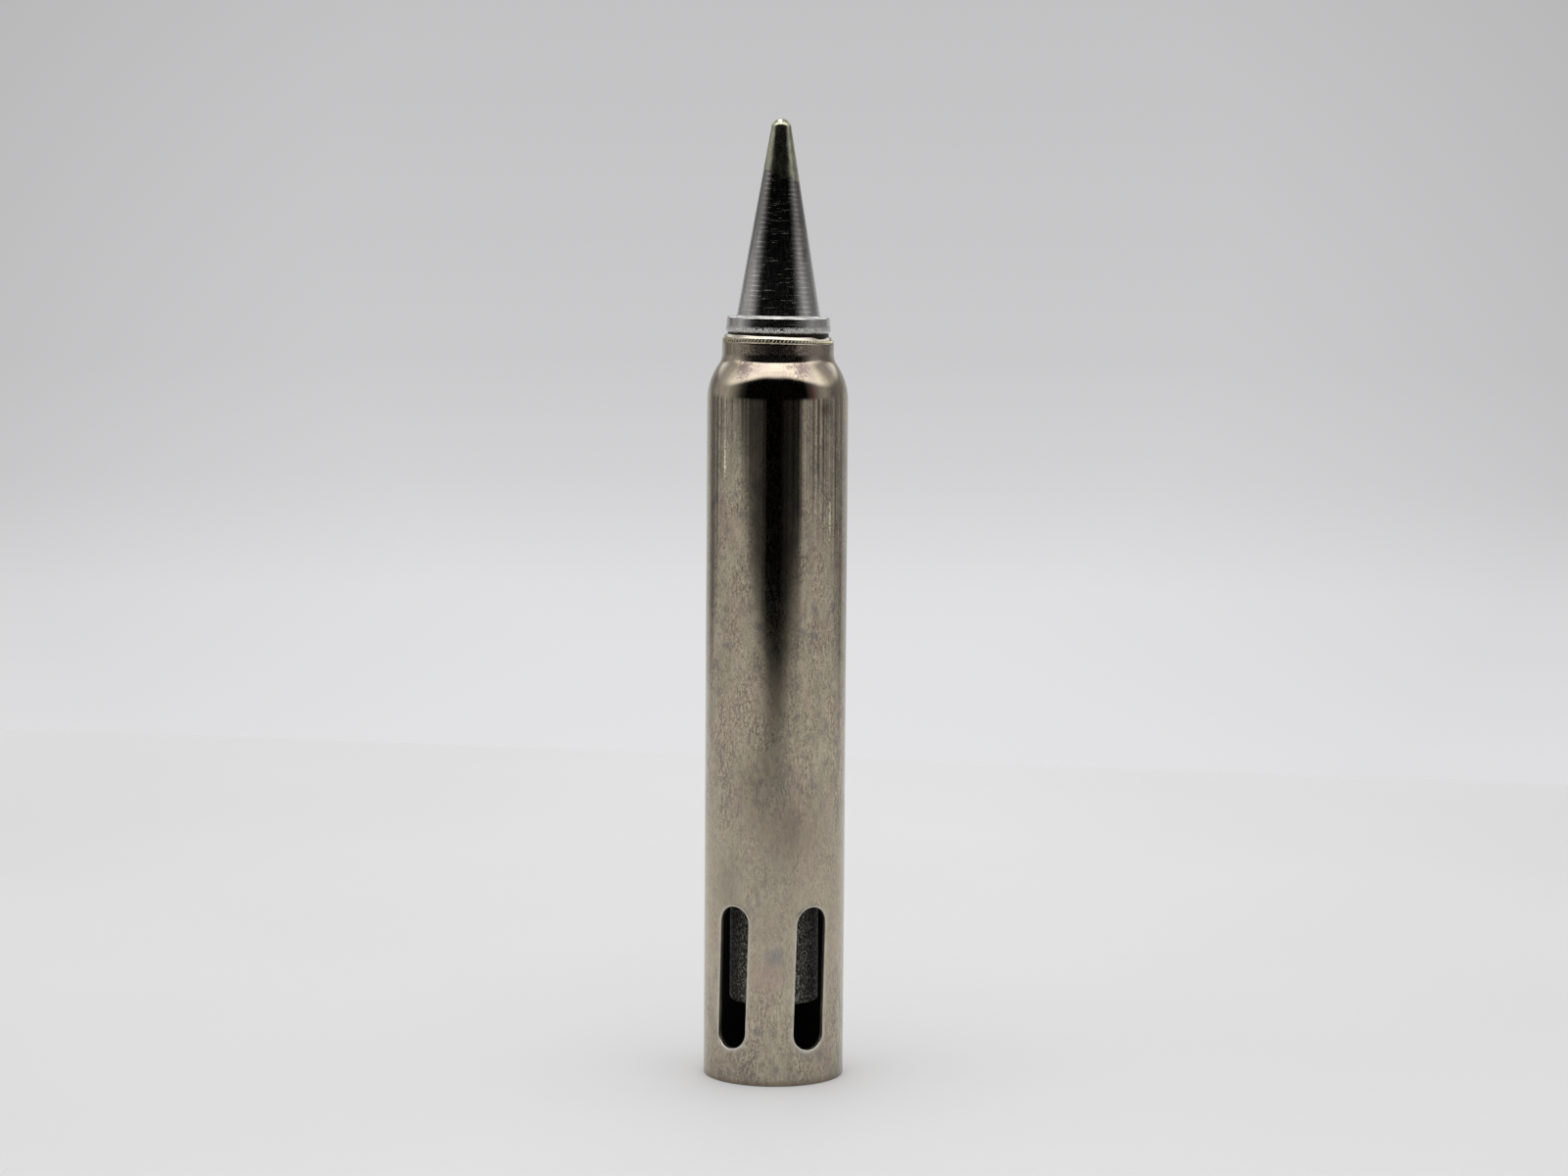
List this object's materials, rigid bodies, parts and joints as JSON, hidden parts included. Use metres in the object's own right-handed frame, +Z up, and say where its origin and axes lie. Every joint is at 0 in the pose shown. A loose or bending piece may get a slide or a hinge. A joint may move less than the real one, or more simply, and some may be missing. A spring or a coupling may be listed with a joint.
{
  "type": "soldering iron tip",
  "caption": "Conical push-on soldering iron tip: plated bit with a heater tube inside a necked, ventilated steel sleeve.",
  "frame": {"origin": "centre of the outer sleeve's open end, on the plane the tip stands on", "axes": "+Z up the common axis from the sleeve's open end to the point; two of the five vent slots face -Y, one each side of it, and one faces +Y"},
  "size_m": [0.008, 0.008, 0.0541],
  "materials": {
    "sleeve_steel": "drawn stainless steel, heat tinted and lightly stained",
    "tube_steel": "dull oxidised steel tube",
    "braze_alloy": "cast braze fillet, dull",
    "core_copper": "turned copper, oxidised",
    "iron_layer": "plated iron, matt",
    "dark_chrome": "dark chrome with fine turning marks",
    "solder_tin": "tinned with solder, slightly yellowed, satin"
  },
  "bodies": {
    "root": {"outer_sleeve": "sleeve_steel", "heater_tube": "tube_steel", "braze_ring": "braze_alloy", "copper_core": "core_copper", "iron_plating": "iron_layer", "chrome_plating": "dark_chrome", "solder_tinning": "solder_tin"}
  },
  "joints": []
}
